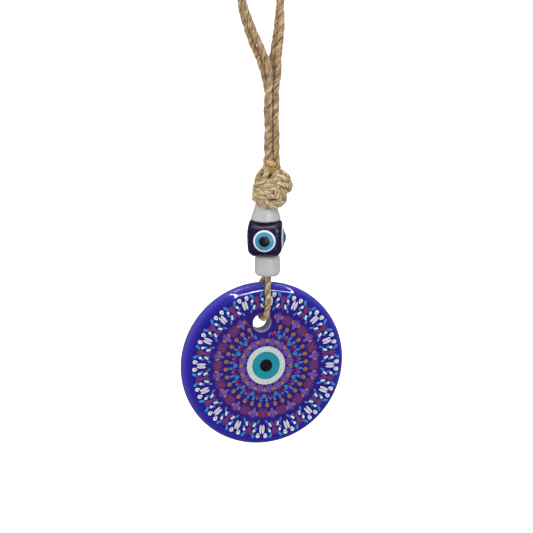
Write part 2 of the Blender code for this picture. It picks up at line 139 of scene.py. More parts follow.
def arc(centre_r, centre_z, radius, start, end, points, rise=None):
    """Points on an arc of a profile; angles in degrees from +r to +z.

    rise is the arc's half height, where it isn't round.
    """
    height = radius if rise is None else rise
    angles = [math.radians(start + (end - start) * i / points) for i in range(points + 1)]
    return [(centre_r + radius * math.cos(a), centre_z + height * math.sin(a)) for a in angles]


# ------------------------------------------------------------ cord helpers

SPAN_STEPS = 24                   # fine points between two points of a route
LUMP_WIDTH = 2.2                  # how fast the cord's lumps vary round it
LUMP_LENGTH = 0.9                 # and along it, for each millimetre
SWAY_LENGTH = 9 * MM              # over which a slack cord sways to and fro
SWAY_HOLD = 12                    # the sway grows to its full width in a twelfth of the cord


def smooth_route(points, step):
    """Even points on a smooth curve through a cord's route, in metres."""
    knots = [Vector(p) * MM for p in points]
    knots = [2 * knots[0] - knots[1], *knots, 2 * knots[-1] - knots[-2]]
    fine = []
    for before, start, end, after in zip(knots, knots[1:], knots[2:], knots[3:]):
        span = (end - start).length
        lead = (end - before) * span / ((start - before).length + span)
        trail = (after - start) * span / ((after - end).length + span)
        for i in range(SPAN_STEPS):
            t = i / SPAN_STEPS
            t2 = t * t
            t3 = t2 * t
            fine.append(
                (2 * t3 - 3 * t2 + 1) * start
                + (t3 - 2 * t2 + t) * lead
                + (3 * t2 - 2 * t3) * end
                + (t3 - t2) * trail
            )
    fine.append(knots[-2])
    lengths = [0.0]
    for first, second in zip(fine, fine[1:]):
        lengths.append(lengths[-1] + (second - first).length)
    count = max(4, round(lengths[-1] / step))
    route = []
    index = 0
    for i in range(count + 1):
        target = lengths[-1] * i / count
        while index < len(fine) - 2 and lengths[index + 1] < target:
            index += 1
        part = (target - lengths[index]) / (lengths[index + 1] - lengths[index])
        route.append(fine[index].lerp(fine[index + 1], min(part, 1.0)))
    return route


def route_frames(route):
    """For each point of a route: two directions across it that don't spin."""
    frames = []
    ahead = (route[1] - route[0]).normalized()
    across = ahead.orthogonal().normalized()
    for i in range(len(route)):
        before = route[max(i - 1, 0)]
        after = route[min(i + 1, len(route) - 1)]
        ahead = (after - before).normalized()
        across = (across - ahead * across.dot(ahead)).normalized()
        frames.append((across, ahead.cross(across)))
    return frames


def route_length(route):
    """The length of a route, point to point."""
    return sum((b - a).length for a, b in zip(route, route[1:]))


def wrapped_tube(shape, route, around, surface):
    """Rolls a grid into a closed tube along a route.

    surface(distance, angle) gives how far the skin stands off the centreline.
    The UV map holds the distance in centimetres and the share of a turn.
    """
    rings = len(route) - 1
    frames = route_frames(route)
    spacing = route_length(route) / rings
    uv = shape.loops.layers.uv.verify()
    grid = bmesh.ops.create_grid(
        shape, x_segments=rings, y_segments=around, size=1.0, calc_uvs=False
    )
    places = {}
    for vert in grid["verts"]:
        ring = round((vert.co.x + 1) / 2 * rings)
        turn = round((vert.co.y + 1) / 2 * around)
        places[vert] = (ring, turn)
    faces = {face for vert in grid["verts"] for face in vert.link_faces}
    for face in faces:
        for loop in face.loops:
            ring, turn = places[loop.vert]
            loop[uv].uv = (ring * spacing / (10 * MM), turn / around)
    for vert, (ring, turn) in places.items():
        angle = math.tau * (turn % around) / around
        across, up = frames[ring]
        reach, swing = surface(ring * spacing, angle)
        vert.co = route[ring] + (across * math.cos(swing) + up * math.sin(swing)) * reach
    bmesh.ops.remove_doubles(shape, verts=grid["verts"], dist=0.0005 * MM)
    rims = [edge for edge in shape.edges if edge.is_boundary]
    bmesh.ops.holes_fill(shape, edges=rims, sides=0)


def ply_surface(diameter, pitch, phase, ragged):
    """The skin of two soft plies twisted round each other, a little lumpy."""
    half = diameter / 2
    ply = (1 - PLY_OFFSET) * half
    apart = PLY_OFFSET * half

    def surface(distance, angle):
        cross = math.cos(angle)
        edge = apart * abs(cross) + math.sqrt(ply * ply - (apart * math.sin(angle)) ** 2)
        ring = Vector((
            math.cos(angle) * LUMP_WIDTH,
            math.sin(angle) * LUMP_WIDTH,
            distance / MM * LUMP_LENGTH + phase * 31,
        ))
        lumps = noise.noise(ring) + 0.6 * noise.noise(ring * 2.7)
        return edge * (1 + ragged * lumps), angle + math.tau * distance / pitch + phase

    return surface


def wandered(route, seed, reach):
    """The same route, swaying a little from side to side between its ends."""
    length = route_length(route)
    swayed = []
    for i, point in enumerate(route):
        share = i / (len(route) - 1)
        hold = min(1.0, SWAY_HOLD * share, SWAY_HOLD * (1 - share))
        spot = share * length / SWAY_LENGTH + seed * 17
        sway = Vector((noise.noise((spot, 0.3, 0.0)), noise.noise((spot, 5.3, 2.0)), 0.0))
        swayed.append(point + sway * reach * hold)
    return swayed


def twisted_cord(
    name, route, diameter, material, body, phase=0.0, around=20, ragged=0.10,
    pitch=CORD_PITCH, replaces=(), sway=0.0,
):
    """One two-ply jute cord along a route."""
    shape = bmesh.new()
    middle_line = wandered(route, phase, sway) if sway else route
    wrapped_tube(shape, middle_line, around, ply_surface(diameter, pitch, phase, ragged))
    outward(shape)
    return finished(name, shape, material, body, replaces)


HAIR_RADIUS = 0.05 * MM
HAIR_ROOT = 0.36                  # off the cord's middle, as a share of its diameter


def stray_fibres(name, routes, count, seed, material, body):
    """Short loose hairs that stand off the cord."""
    dice = random.Random(seed)
    shape = bmesh.new()
    for _ in range(count):
        route = dice.choice(routes)
        index = dice.randrange(2, len(route) - 3)
        ahead = (route[index + 1] - route[index]).normalized()
        across = Vector([dice.uniform(-1, 1) for _ in range(3)]).cross(ahead).normalized()
        length = dice.choice((0.8, 1.0, 1.3, 2.4)) * dice.uniform(0.8, 1.2) * MM
        lean = dice.choice((-1, 1)) * dice.uniform(0.7, 1.4)
        curl = dice.uniform(-0.5, 0.5)
        start = route[index] + across * CORD_DIAMETER * HAIR_ROOT
        side = ahead.cross(across)
        hair = [
            start + (across * t + ahead * lean * t + side * curl * t * t) * length
            for t in (0.0, 0.2, 0.45, 0.7, 1.0)
        ]

        def tapering(distance, angle, size=length):
            return HAIR_RADIUS * (1.05 - 0.3 * distance / size), angle

        wrapped_tube(shape, hair, 3, tapering)
    outward(shape)
    return finished(name, shape, material, body)


# ------------------------------------------------------------ materials


class Finish:
    """A material, with short ways to add nodes to it and join them."""

    def __init__(self, name, colour, roughness, **settings):
        self.material = bpy.data.materials.new(name)
        self.material.use_nodes = True
        self.tree = self.material.node_tree
        self.shader = self.tree.nodes["Principled BSDF"]
        self.shader.inputs["Base Color"].default_value = (*colour, 1.0)
        self.shader.inputs["Roughness"].default_value = roughness
        self.material.diffuse_color = (*colour, 1.0)
        for socket, value in settings.items():
            self.shader.inputs[socket.replace("_", " ").title()].default_value = value

    def add(self, kind, joins=None, **values):
        """A new node, with other nodes joined to it and its own values set."""
        node = self.tree.nodes.new("ShaderNode" + kind)
        for socket, value in values.items():
            node.inputs[socket].default_value = value
        for socket, source in (joins or {}).items():
            self.tree.links.new(source, node.inputs[socket])
        return node

    def place(self, kind="Object", scale=(1, 1, 1), shift=(0, 0, 0)):
        """Where a point of the surface is, for the paint to follow."""
        spot = self.add("TexCoord")
        mapping = self.add("Mapping", {"Vector": spot.outputs[kind]}, Scale=scale, Location=shift)
        return mapping.outputs["Vector"]

    def noise(self, vector, scale, detail=2.0, roughness=0.5):
        node = self.add(
            "TexNoise", {"Vector": vector}, Scale=scale, Detail=detail, Roughness=roughness
        )
        return node.outputs["Fac"]

    def maths(self, operation, first, second=None):
        node = self.add("Math")
        node.operation = operation
        for socket, value in zip(node.inputs, (first, second)):
            if isinstance(value, (int, float)):
                socket.default_value = value
            elif value is not None:
                self.tree.links.new(value, socket)
        return node.outputs["Value"]

    def ramp(self, factor, *stops):
        node = self.add("ValToRGB", {"Fac": factor})
        ends = node.color_ramp.elements
        while len(ends) < len(stops):
            ends.new(0.5)
        for end, (position, colour) in zip(ends, stops):
            end.position = position
            end.color = (*colour, 1.0)
        return node.outputs["Color"]

    def blend(self, factor, first, second, mode="MIX"):
        node = self.add("Mix")
        node.data_type = "RGBA"
        node.blend_type = mode
        sockets = (node.inputs["Factor"], node.inputs[6], node.inputs[7])
        for socket, value in zip(sockets, (factor, first, second)):
            if isinstance(value, float):
                socket.default_value = value
            elif isinstance(value, tuple):
                socket.default_value = (*value, 1.0)
            else:
                self.tree.links.new(value, socket)
        return node.outputs[2]

    def colour(self, source):
        self.tree.links.new(source, self.shader.inputs["Base Color"])

    def roughness(self, factor, low, high):
        node = self.add("MapRange", {"Value": factor}, **{"To Min": low, "To Max": high})
        self.tree.links.new(node.outputs["Result"], self.shader.inputs["Roughness"])

    def bump(self, height, strength, depth):
        node = self.add("Bump", {"Height": height}, Strength=strength, Distance=depth)
        self.tree.links.new(node.outputs["Normal"], self.shader.inputs["Normal"])


def jute(name, dark, mid, light):
    """Twisted jute: fibres run along the plies, and the grooves are darkened as painted shade."""
    finish = Finish(name, mid, 0.85, sheen_weight=0.2, sheen_roughness=0.5)
    spread = finish.add("SeparateXYZ", {"Vector": finish.place("UV")})
    along = spread.outputs["X"]
    turn = finish.maths("MULTIPLY", spread.outputs["Y"], math.tau)
    cosine = finish.maths("COSINE", turn)
    sine = finish.maths("SINE", turn)

    def fibre_noise(stretch, width, detail):
        skin = finish.add("CombineXYZ", {
            "X": finish.maths("MULTIPLY", along, stretch),
            "Y": finish.maths("MULTIPLY", cosine, width),
            "Z": finish.maths("MULTIPLY", sine, width),
        })
        return finish.noise(skin.outputs["Vector"], 1.0, detail=detail, roughness=0.62)

    fibres = fibre_noise(4.0, 2.9, 3.0)
    tufts = fibre_noise(2.6, 1.3, 2.0)
    # Painted shade: towards the grooves between the plies the colour is blended into the darkest colour
    groove = finish.maths("ABSOLUTE", cosine)
    depth = finish.maths("POWER", groove, 0.3)
    strands = finish.ramp(fibres, (0.40, dark), (0.47, mid), (0.56, light))
    patches = finish.ramp(tufts, (0.40, (0.66, 0.60, 0.52)), (0.54, (1.0, 1.0, 1.0)))
    mottled = finish.blend(1.0, strands, patches, "MULTIPLY")
    finish.colour(finish.blend(depth, dark, mottled))
    finish.roughness(fibres, 0.75, 0.95)
    relief = finish.maths("ADD", fibres, finish.maths("MULTIPLY", tufts, 0.8))
    finish.bump(relief, 1.0, 0.35 * MM)
    return finish.material


def jute_hair(name, colour):
    """Loose hairs, some darker than others."""
    finish = Finish(name, colour, 0.8)
    shade = finish.noise(finish.place(), 900.0)
    finish.colour(finish.ramp(shade, (0.3, tuple(c * 0.7 for c in colour)), (0.7, colour)))
    return finish.material


def cobalt_glass():
    """Deep blue glass, paler where the rim thins out and dark behind."""
    finish = Finish(
        "cobalt_glass", (0.03, 0.012, 0.36), 0.06,
        transmission_weight=0.30, coat_weight=0.6, coat_roughness=0.03,
    )
    spot = finish.place(shift=tuple(-c for c in DISC_CENTRE))
    flat = finish.add("VectorMath", {0: spot})
    flat.operation = "MULTIPLY"
    flat.inputs[1].default_value = (1.0, 0.0, 1.0)
    reach = finish.add("VectorMath", {0: flat.outputs["Vector"]})
    reach.operation = "LENGTH"
    share = finish.maths("DIVIDE", reach.outputs["Value"], DISC_RADIUS)
    swirl = finish.noise(finish.place(scale=(60, 60, 60)), 1.0, detail=2.0)
    waver = finish.maths("MULTIPLY", finish.maths("SUBTRACT", swirl, 0.5), 0.03)
    wavering = finish.maths("ADD", share, waver)
    blues = finish.ramp(
        wavering,
        (0.60, (0.036, 0.014, 0.255)),
        (0.88, (0.022, 0.008, 0.330)),
        (0.95, (0.042, 0.032, 0.490)),
        (1.00, (0.115, 0.105, 0.600)),
    )
    depth = finish.add("SeparateXYZ", {"Vector": spot}).outputs["Y"]
    fade = {"From Min": 1.2 * MM, "From Max": 2.2 * MM}
    behind = finish.add("MapRange", {"Value": depth}, **fade)
    finish.colour(finish.blend(behind.outputs["Result"], blues, (0.018, 0.016, 0.085)))
    finish.bump(finish.noise(finish.place(scale=(90, 90, 90)), 1.0, detail=1.0), 0.05, 0.3 * MM)
    return finish.material


def frosted_bore():
    """The drilled wall of the hole, ground matt."""
    finish = Finish("frosted_bore", (0.20, 0.20, 0.38), 0.55, coat_weight=0.1)
    grain = finish.noise(finish.place(), 2600.0, detail=3.0)
    finish.colour(finish.ramp(grain, (0.3, (0.13, 0.13, 0.30)), (0.7, (0.30, 0.31, 0.48))))
    finish.bump(grain, 0.4, 0.05 * MM)
    return finish.material


def fired_ink(name, colour):
    """Ceramic ink under a glossy glaze, a little uneven in depth."""
    finish = Finish(name, colour, 0.35, coat_weight=1.0, coat_roughness=0.04)
    finish.shader.inputs["Specular IOR Level"].default_value = 0.05
    mottle = finish.noise(finish.place(), 1400.0, detail=3.0)
    finish.colour(finish.ramp(
        mottle,
        (0.30, tuple(c * 0.78 for c in colour)),
        (0.70, tuple(min(1.0, c * 1.12) for c in colour)),
    ))
    return finish.material


def bead_glass(name, colour, roughness, vary, scale, **settings):
    """Poured glass with faint streaks in its colour and a barely wavy skin."""
    finish = Finish(name, colour, roughness, **settings)
    streaks = finish.noise(finish.place(scale=(1, 1, 2.2)), scale, detail=3.0)
    finish.colour(finish.ramp(
        streaks,
        (0.30, tuple(c * (1 - vary) for c in colour)),
        (0.70, tuple(min(1.0, c * (1 + vary)) for c in colour)),
    ))
    finish.roughness(streaks, roughness * 0.8, roughness * 1.25)
    finish.bump(streaks, 0.08, 0.4 * MM)
    return finish.material


# Each jute: its darkest fibres' colour, also painted into its grooves as shade, that of most of its
# fibres and of the palest
JUTE = jute("jute", (0.165, 0.082, 0.032), (0.50, 0.322, 0.155), (0.86, 0.64, 0.375))
# Painted light: a lighter copy of the jute, for the knot's strands, which are the same cord as the loop
JUTE_PAINTED_LIGHT = jute("jute_light", (0.200, 0.100, 0.040), (0.66, 0.470, 0.240), (0.97, 0.80, 0.51))
JUTE_GOLDEN = jute("jute_golden", (0.300, 0.130, 0.038), (0.74, 0.470, 0.200), (0.98, 0.72, 0.38))
# Painted shade: a darker copy of the jute, for the dark filling that stands for the shade in the knot's
# hollows
JUTE_PAINTED_SHADE = jute("jute_painted_shade", (0.040, 0.018, 0.009), (0.120, 0.060, 0.030), (0.24, 0.14, 0.07))
HAIR = jute_hair("jute_hair", (0.80, 0.64, 0.42))
COBALT = cobalt_glass()
BORE = frosted_bore()
NAVY = bead_glass(
    "navy_glass", (0.010, 0.007, 0.046), 0.26, 0.25, 220.0, coat_weight=0.25, coat_roughness=0.14,
)
WHITE = bead_glass(
    "white_glass", (0.58, 0.58, 0.585), 0.36, 0.04, 160.0,
    coat_weight=0.25, coat_roughness=0.2, subsurface_weight=0.25, subsurface_scale=0.002,
)
EYE_GLASS = {
    "white": bead_glass("eye_white_glass", (0.84, 0.89, 0.90), 0.34, 0.03, 300.0),
    "blue": bead_glass("eye_blue_glass", (0.040, 0.300, 0.520), 0.34, 0.10, 300.0),
    "pupil": bead_glass("eye_black_glass", (0.006, 0.007, 0.006), 0.42, 0.20, 300.0),
}

# ------------------------------------------------------------ camera

CAMERA_AZIMUTH = math.radians(-14.7)
CAMERA_ELEVATION = math.radians(15.8)
CAMERA_DISTANCE = 1.2
CAMERA_AIM = Vector((5.0, 10.2, -122.7)) * MM
CAMERA_LENS = 192.5               # millimetres, on a 36 mm sensor


def build_camera():
    """The camera stands a little to the left of the disc, and above it."""
    level = math.cos(CAMERA_ELEVATION)
    toward = Vector((
        math.sin(CAMERA_AZIMUTH) * level,
        -math.cos(CAMERA_AZIMUTH) * level,
        math.sin(CAMERA_ELEVATION),
    ))
    data = bpy.data.cameras.new("camera")
    data.lens = CAMERA_LENS
    data.sensor_width = 36
    camera = bpy.data.objects.new("camera", data)
    camera.location = DISC_CENTRE + toward * CAMERA_DISTANCE
    camera.rotation_euler = (CAMERA_AIM - camera.location).to_track_quat("-Z", "Y").to_euler()
    bpy.context.scene.collection.objects.link(camera)
    bpy.context.scene.camera = camera


# ------------------------------------------------------------ jute cords

# Route points in millimetres, as the model's cord solids lie.  The feet of
# the loop strands run on down inside the whipping and into the knot.
LOOP_CROWN = [
    (-8.0, -6.7), (-6.9, -2.7), (-4.0, 0.2), (0.0, 1.3), (4.0, 0.2), (6.9, -2.7), (8.0, -6.7),
]
LOOP_ROUTES = {
    "front": (-1.45, [
        (3.1, -80.0), (3.1, -73.8), (3.1, -63.8), (3.1, -53.8), (3.1, -44.9), (2.9, -38.6),
        (1.8, -32.3), (-0.6, -27.2), (-2.9, -22.2), (-4.9, -17.2), (-6.9, -12.2), *LOOP_CROWN,
        (8.1, -12.7), (8.1, -17.7), (7.8, -22.6), (7.3, -27.6), (7.0, -32.6), (6.8, -37.5),
        (6.3, -42.5), (6.0, -53.8), (6.0, -63.8), (6.2, -73.8), (6.6, -77.0), (6.4, -80.0),
    ]),
    "back": (1.45, [
        (3.1, -80.0), (3.1, -73.8), (3.1, -63.8), (3.1, -53.8), (3.1, -45.4), (2.1, -40.3),
        (0.4, -35.2), (-1.3, -30.2), (-2.8, -27.6), (-4.5, -22.6), (-6.2, -17.6), (-7.5, -12.6),
        *LOOP_CROWN, (8.0, -13.2), (7.5, -18.1), (6.8, -23.1), (5.9, -28.0), (5.2, -32.9),
        (5.3, -38.0), (5.9, -43.0), (6.0, -53.8), (6.0, -63.8), (6.0, -73.8), (6.0, -80.0),
    ]),
}
BIGHT_FRONT = [
    (2.7, -1.5, -124.0), (2.04, -3.74, -126.26), (1.68, -4.8, -127.85), (1.5, -5.2, -129.8),
    (1.5, -5.4, -134.1), (1.2, -5.54, -137.7), (0.9, -5.15, -139.45), (0.66, -4.06, -140.87),
    (0.44, -2.68, -141.64), (0.3, -1.4, -141.84),
]
BIGHT_ROUTE = BIGHT_FRONT + [(x, -y, z) for x, y, z in reversed(BIGHT_FRONT)]
CORE_ROUTE = [(2.7, -122.4), (2.7, -114.9), (2.2, -107.5), (2.0, -100.1), (2.0, -93.1)]
CORE_OFFSET = 1.3                 # of each strand in the beads, front and back
CORD_STEP = 0.5 * MM              # between the rings of a cord
LOOP_SWAY = 0.55 * MM
LOOP_HAIRS = 620
BIGHT_HAIRS = 24


def build_cords():
    """The hanging loop, the bend through the disc and the strands in the beads."""
    hanging = []
    for side, (depth, legs) in LOOP_ROUTES.items():
        route = smooth_route([(x, depth, z) for x, z in legs], CORD_STEP)
        strand = twisted_cord(
            f"loop_{side}", route, CORD_DIAMETER * CORD_FULL, JUTE, "cord",
            phase=0.4 if side == "front" else 1.9, replaces=[f"loop_strand_{side}"],
            around=24, sway=LOOP_SWAY,
        )
        hanging.append(route)

    route = smooth_route(BIGHT_ROUTE, CORD_STEP)
    bend = twisted_cord(
        "disc_bight", route, CORD_DIAMETER, JUTE, "bight", phase=0.9,
        replaces=["cord_bight"], ragged=0.06,
    )

    for side, depth in (("front", -CORE_OFFSET), ("back", CORE_OFFSET)):
        inner = smooth_route([(x, depth, z) for x, z in CORE_ROUTE], CORD_STEP)
        twisted_cord(
            f"core_{side}", inner, CORE_DIAMETER, JUTE, "cord", around=14,
            replaces=[f"core_strand_{side}"],
        )
    stray_fibres("loop_fibres", hanging, LOOP_HAIRS, 7, HAIR, "cord")
    stray_fibres("bight_fibres", [route], BIGHT_HAIRS, 11, HAIR, "bight")


# ------------------------------------------------------------ knot and whipping

# The strands of the knot, in millimetres: the turns that cross its front, the
# back and right-side strands that close it behind them, and the tail over all.
KNOT_STRANDS = {
    "shoulder": [
        (2.5, -1.2, -77.3), (1.8, -2.2, -79.4), (0.9, -3.2, -81.3), (-0.8, -3.8, -83.2),
        (-2.3, -3.2, -84.9), (-2.6, -0.8, -86.9), (-1.2, 2.2, -88.9), (1.9, 4.6, -90.3),
        (5.5, 5.6, -90.2), (9.0, 5.3, -89.2), (11.2, 4.2, -88.4), (12.2, 2.2, -87.5),
        (12.3, 0.0, -85.9), (10.8, -2.6, -83.8), (8.6, -4.3, -82.1), (6.4, -4.6, -81.3),
        (4.9, -4.0, -82.0),
    ],
    "upper_turn": [
        (6.6, -1.8, -80.2), (5.7, -3.9, -81.6), (3.8, -5.3, -83.4), (1.6, -5.5, -84.7),
        (-0.8, -4.9, -85.8), (-2.5, -2.8, -87.2), (-2.6, 0.2, -89.1), (-0.7, 3.0, -91.0),
        (2.5, 4.9, -92.0), (6.0, 5.8, -92.0), (9.3, 5.3, -90.6), (11.4, 4.2, -89.3),
        (12.2, 2.0, -88.1), (11.9, -0.6, -86.6), (10.5, -3.0, -85.4), (8.3, -4.6, -84.5),
        (6.0, -5.0, -84.7),
    ],
    "lower_turn": [
        (7.5, -3.0, -81.9), (6.3, -4.8, -83.6), (4.4, -5.7, -85.4), (2.0, -5.9, -86.5),
        (-0.7, -5.3, -87.4), (-2.5, -3.4, -88.6), (-2.7, -0.6, -90.1), (-1.5, 2.4, -91.8),
        (1.3, 4.2, -92.9), (4.9, 5.2, -93.1), (8.2, 4.8, -92.6), (9.8, 3.0, -91.6),
        (9.8, 0.0, -90.6), (8.9, -2.6, -91.0), (7.2, -4.3, -92.2), (5.1, -5.0, -93.1),
        (2.5, -5.0, -93.3), (0.2, -4.5, -92.6), (-1.6, -3.6, -91.4), (-2.4, -2.2, -90.9),
    ],
    "foot": [
        (5.0, -5.3, -85.8), (6.8, -5.6, -87.1), (8.3, -4.6, -89.4), (8.9, -3.0, -91.4),
        (8.2, -1.2, -93.1), (6.8, 1.6, -94.0), (4.6, 3.6, -93.8), (1.8, 3.4, -93.0),
        (-1.0, 1.6, -91.8), (-2.4, -1.0, -90.6), (-1.9, -4.0, -89.6), (-0.2, -5.2, -89.3),
        (2.0, -5.7, -89.0), (4.4, -5.8, -88.7),
    ],
    "side_loop": [
        (5.0, 2.0, -78.1), (5.5, 2.0, -80.0), (6.2, -0.6, -80.0), (8.0, -1.2, -79.8),
        (9.8, -0.8, -81.0), (11.5, 0.0, -83.1), (12.3, 0.8, -85.4), (12.0, 2.4, -87.4),
        (10.6, 4.2, -88.1), (8.8, 5.2, -87.0), (6.8, 5.0, -85.0), (5.2, 3.6, -82.2),
        (4.1, 2.2, -80.0),
    ],
    "neck": [
        (6.6, 0.6, -78.6), (5.8, -2.2, -79.8), (4.5, -3.7, -81.7), (2.7, -4.3, -83.1),
        (0.9, -4.5, -84.3), (-0.9, -4.0, -85.4), (-1.6, -2.4, -86.4),
    ],
    "back_neck": [
        (2.0, 1.6, -78.4), (2.4, 2.8, -79.8), (4.0, 3.5, -80.6), (6.2, 3.3, -80.8),
        (8.2, 2.0, -81.4), (9.4, 0.4, -82.2),
    ],
    "back_upper": [
        (-1.6, 0.0, -83.8), (-0.6, 2.2, -83.0), (1.8, 3.7, -82.4), (4.6, 4.3, -82.9),
        (7.3, 3.8, -83.9), (9.4, 2.6, -84.9), (10.6, 0.6, -85.7),
    ],
    "back_middle": [
        (-2.4, -0.4, -86.2), (-1.4, 2.2, -85.8), (1.0, 4.1, -85.2), (4.0, 4.8, -85.3),
        (6.9, 4.5, -86.2), (9.3, 3.2, -87.2), (10.6, 1.2, -87.8),
    ],
    "back_lower": [
        (-2.2, 0.8, -88.6), (0.0, 3.4, -88.0), (2.8, 4.7, -87.8), (5.8, 4.8, -88.3),
        (8.4, 3.6, -89.3), (9.8, 1.4, -90.0),
    ],
    "back_shoulder": [
        (3.6, 2.4, -78.4), (1.8, 3.0, -79.6), (0.5, 3.0, -81.0), (-0.6, 2.0, -82.4),
        (-1.6, 0.4, -83.6),
    ],
    "right_cover": [
        (8.4, -3.6, -80.4), (9.5, -2.2, -81.3), (9.9, -0.4, -82.6), (9.7, 1.4, -83.8),
        (8.8, 2.8, -84.8),
    ],
    "right_side": [
        (6.8, -4.6, -86.6), (8.6, -3.6, -87.5), (9.6, -1.8, -88.3), (9.8, 0.4, -88.9),
        (9.2, 2.4, -89.5),
    ],
    "tail": [
        (4.1, -5.2, -86.0), (5.3, -6.0, -88.0), (6.0, -5.9, -89.9), (5.7, -5.4, -91.5),
        (4.0, -5.4, -92.0), (1.9, -5.4, -91.7), (0.0, -5.2, -91.0), (-1.2, -4.6, -90.3),
    ],
}
KNOT_STEP = 0.4 * MM
KNOT_FULL = 1.05                  # drawn tight, the strands are less fluffy
KNOT_PITCH = 8.0 * MM
KNOT_HAIRS = 420
# The knot's dark filling: painted shade in the hollows between its strands
KNOT_FILLING_CENTRE = Vector((4.4, 0.0, -86.0)) * MM
KNOT_FILLING_RADII = Vector((5.2, 4.3, 6.4)) * MM

# The whipping's helix, in millimetres: an oval round the left of the bundle
WHIPPING_TURNS = 2
WHIPPING_STEPS = 16               # points in a turn
WHIPPING_START = 0.30             # of a turn, from +X
WHIPPING_X = 3.5
WHIPPING_HALF_WIDTH = 1.15
WHIPPING_HALF_DEPTH = 2.7
WHIPPING_TOP = -74.6
WHIPPING_PITCH = 2.8
WHIPPING_LEVEL = 0.9              # how nearly it runs level across the front
WHIPPING_DIAMETER = 3.1 * MM


def build_knot():
    """The knot's strands, painted lighter than the loop's jute, over a dark filling that is painted
    shade.
    """
    shape = bmesh.new()
    bmesh.ops.create_uvsphere(shape, u_segments=32, v_segments=20, radius=1.0)
    bmesh.ops.scale(shape, vec=KNOT_FILLING_RADII, verts=shape.verts)
    bmesh.ops.translate(shape, vec=KNOT_FILLING_CENTRE, verts=shape.verts)
    finished("knot_shade_filling", shape, JUTE_PAINTED_SHADE, "cord", ["knot"])

    routes = []
    for number, (name, points) in enumerate(KNOT_STRANDS.items()):
        route = smooth_route(points, KNOT_STEP)
        # The knot's strands get the lighter copy of the jute: painted light
        twisted_cord(
            f"knot_{name}", route, CORD_DIAMETER * KNOT_FULL, JUTE_PAINTED_LIGHT, "cord",
            phase=0.8 * number, pitch=KNOT_PITCH, around=24,
        )
        routes.append(route)
    stray_fibres("knot_fibres", routes, KNOT_HAIRS, 3, HAIR, "cord")


def build_whipping():
    """A golden strand wound round the left strands of the bundle."""
    points = []
    for i in range(WHIPPING_TURNS * WHIPPING_STEPS + 1):
        angle = math.tau * (i / WHIPPING_STEPS + WHIPPING_START)
        turns_down = (angle + WHIPPING_LEVEL * math.sin(angle - math.pi / 2)) / math.tau
        points.append((
            WHIPPING_X + WHIPPING_HALF_WIDTH * math.cos(angle),
            WHIPPING_HALF_DEPTH * math.sin(angle),
            WHIPPING_TOP - WHIPPING_PITCH * (turns_down - WHIPPING_START),
        ))
    route = smooth_route(points, KNOT_STEP)
    twisted_cord(
        "whipping", route, WHIPPING_DIAMETER, JUTE_GOLDEN, "cord",
        phase=0.3, pitch=KNOT_PITCH, replaces=["collar_wrap"],
    )


# ------------------------------------------------------------ beads

BEAD_STEPS = 72
BEAD_ROUND = 1.2 * MM             # outer edge rounding, across


def build_white_bead(node, top_radius, bottom_radius, rise, lip):
    """A turned bead with rounded ends and a rounded bore.

    rise is the height of the outer edges' rounding, and lip is the bore's.
    """
    centre, half = middle(node)
    height = 2 * half.z
    profile = [
        *arc(top_radius - BEAD_ROUND, -rise, BEAD_ROUND, 90, 0, 8, rise=rise),
        *arc(bottom_radius - BEAD_ROUND, rise - height, BEAD_ROUND, 0, -90, 8, rise=rise),
        *arc(BORE_RADIUS + lip, lip - height, lip, -90, -180, 5),
        *arc(BORE_RADIUS + lip, -lip, lip, 180, 90, 5),
    ]
    shape = bmesh.new()
    turned(shape, [*profile, profile[0]], centre + Vector((0, 0, half.z)), (0, 0, 1), BEAD_STEPS)
    outward(shape)
    finished(f"{node}_glass", shape, WHITE, node, [node])


def facing(quarter):
    """The outward direction of a side of the cube, front first."""
    angle = CUBE_YAW + math.radians(90 * quarter - 90)
    return Vector((math.cos(angle), math.sin(angle), 0.0))


CUBE_ROUND = 2.5 * MM             # of the upper edges
CUBE_FOOT_ROUND = 3.3 * MM        # of the lower edges
CUBE_DISH = 0.7 * MM              # how far the top sinks in the middle
CUBE_FOOT_CROWN = 0.2 * MM        # and the underside swells
CUBE_CUTS = 15                    # across each side
CUBE_DISH_REACH = 1.25            # of the dish, as a share of half the cube
CUBE_CAP_RADIUS = 3.1 * MM        # of the faces that are opened for the bore


def build_cube():
    """A pressed and drilled cube, dished on top, whose lower edges are rounder."""
    centre, half_size = middle("cube_bead")
    half = half_size.z
    shape = bmesh.new()
    bmesh.ops.create_cube(shape, size=2 * half)
    bmesh.ops.subdivide_edges(shape, edges=shape.edges, cuts=CUBE_CUTS, use_grid_fill=True)
    for vert in shape.verts:
        low_share = max(0.0, min(1.0, 0.5 - vert.co.z / half))
        rounding = CUBE_ROUND + (CUBE_FOOT_ROUND - CUBE_ROUND) * low_share
        flat = half - rounding
        inner = Vector([max(-flat, min(flat, c)) for c in vert.co])
        beyond = vert.co - inner
        if beyond.length > 0:
            vert.co = inner + beyond.normalized() * rounding
        sink = max(0.0, 1 - (vert.co.to_2d().length / (CUBE_DISH_REACH * half)) ** 2)
        if vert.co.z > flat:
            vert.co.z -= CUBE_DISH * sink
        elif vert.co.z < -flat:
            vert.co.z -= CUBE_FOOT_CROWN * sink
    shape.normal_update()
    caps = [
        face for face in shape.faces
        if abs(face.normal.z) > 0.9
        and face.calc_center_median().to_2d().length < CUBE_CAP_RADIUS
    ]
    bmesh.ops.delete(shape, geom=caps, context="FACES")
    rims = [edge for edge in shape.edges if edge.is_boundary]
    for vert in {vert for edge in rims for vert in edge.verts}:
        vert.co.xy = vert.co.to_2d().normalized() * BORE_RADIUS
    bmesh.ops.bridge_loops(shape, edges=rims)
    outward(shape)
    spin = Matrix.Rotation(CUBE_YAW, 4, "Z")
    bmesh.ops.transform(shape, matrix=Matrix.Translation(centre) @ spin, verts=shape.verts)
    finished("cube_glass", shape, NAVY, "cube", ["cube_bead"])
    return centre, half


EYE_FOOT = -0.5 * MM              # how deep each dot is set in the cube
EYE_STEPS = 48


